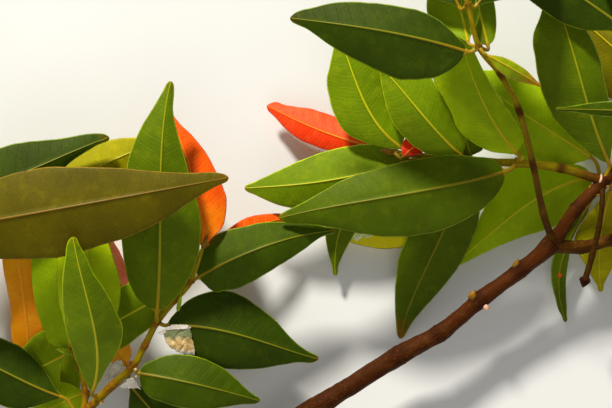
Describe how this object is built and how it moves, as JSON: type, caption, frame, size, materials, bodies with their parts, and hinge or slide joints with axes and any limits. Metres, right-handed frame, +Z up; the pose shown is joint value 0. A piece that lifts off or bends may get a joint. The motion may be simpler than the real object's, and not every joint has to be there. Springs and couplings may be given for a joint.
{
  "type": "cut branch of a red lip tree",
  "caption": "Cut leafy branch of a red lip tree, lying down: a brown stem with side twigs, pairs of pointed glossy leaves, orange-red young leaves and a dry fruit stalk.",
  "frame": {"origin": "on the surface the branch lies on, under the middle of its box", "axes": "+X along the branch, from its bare cut end towards its far tips; +Y to the side its front twigs and most leaves spread to; +Z up, off the surface"},
  "size_m": [0.4096, 0.2328, 0.085],
  "materials": {
    "bark": "rough",
    "twig_bark": "satin",
    "dry_stalk": "rough",
    "leaves": "glossy",
    "young_leaves": "glossy"
  },
  "bodies": {
    "root": {"back_flush": "young_leaves", "back_leaves": "leaves", "back_tip_flush": "young_leaves", "back_twig": "twig_bark", "corner_leaves": "leaves", "corner_low_leaves": "leaves", "corner_tip_leaves": "leaves", "corner_twig": "twig_bark", "front_leaves": "leaves", "front_tip_leaves": "leaves", "front_twig": "twig_bark", "front_upper_leaves": "leaves", "fruit_stalk": "dry_stalk", "inner_leaves": "leaves", "inner_twig": "twig_bark", "left_base_leaves": "leaves", "left_flush": "young_leaves", "left_foot_leaves": "leaves", "left_low_leaves": "leaves", "left_rise_leaves": "leaves", "left_tip_leaves": "leaves", "left_top_leaves": "leaves", "left_twig": "twig_bark", "low_leaves": "leaves", "low_mid_leaves": "leaves", "low_tip_leaves": "leaves", "low_twig": "twig_bark", "outer_base_leaves": "leaves", "outer_front_leaves": "leaves", "outer_low_leaves": "leaves", "outer_top_leaves": "leaves", "outer_twig": "twig_bark", "right_base_leaves": "leaves", "right_flush": "young_leaves", "right_heel_leaves": "leaves", "right_mid_leaves": "leaves", "right_tip_leaves": "leaves", "right_twig": "twig_bark", "stem_foot": "bark", "stem_middle": "bark", "stem_side_leaves": "leaves", "stem_tip_leaves": "leaves", "stem_top": "bark"}
  },
  "joints": []
}
